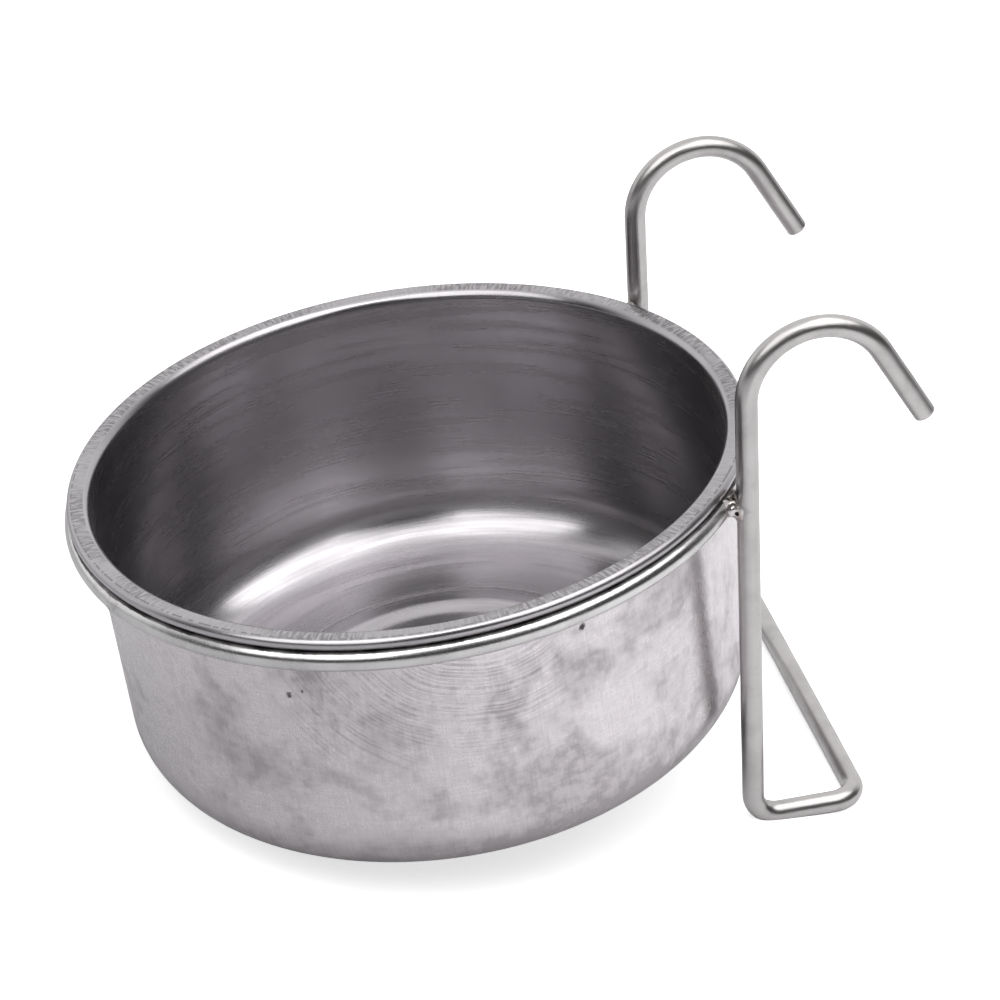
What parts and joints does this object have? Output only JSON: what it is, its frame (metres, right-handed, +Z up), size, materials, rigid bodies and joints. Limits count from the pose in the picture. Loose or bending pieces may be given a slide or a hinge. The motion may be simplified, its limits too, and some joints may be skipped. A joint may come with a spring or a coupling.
{
  "type": "hook-on feeding cup",
  "caption": "Round drawn-steel feeding cup that lifts out of a wire ring holder with cage hooks and a lower stand-off bar.",
  "frame": {"origin": "centre of the cup's base on the cup's axis", "axes": "+Z up along the cup's axis; +X from the cup towards the cage wall that it hooks on; +Y along the stand-off bar"},
  "size_m": [0.1505, 0.1258, 0.1036],
  "materials": {
    "cup_steel": "satin drawn stainless steel with fine turning and handling marks",
    "ring_steel": "polished stainless steel wire",
    "frame_steel": "tumbled stainless steel wire",
    "weld_steel": "rough heat-tinted weld metal"
  },
  "bodies": {
    "holder": {"support_ring": "ring_steel", "ring_butt_weld": "weld_steel", "hook_frame": "frame_steel", "front_weld": "weld_steel", "rear_weld": "weld_steel"},
    "cup": {"cup": "cup_steel"}
  },
  "joints": [
    {"name": "cup_lift", "type": "slide", "parent": "holder", "child": "cup", "axis": [0, 0, 1], "range_m": [0, 0.09]}
  ]
}
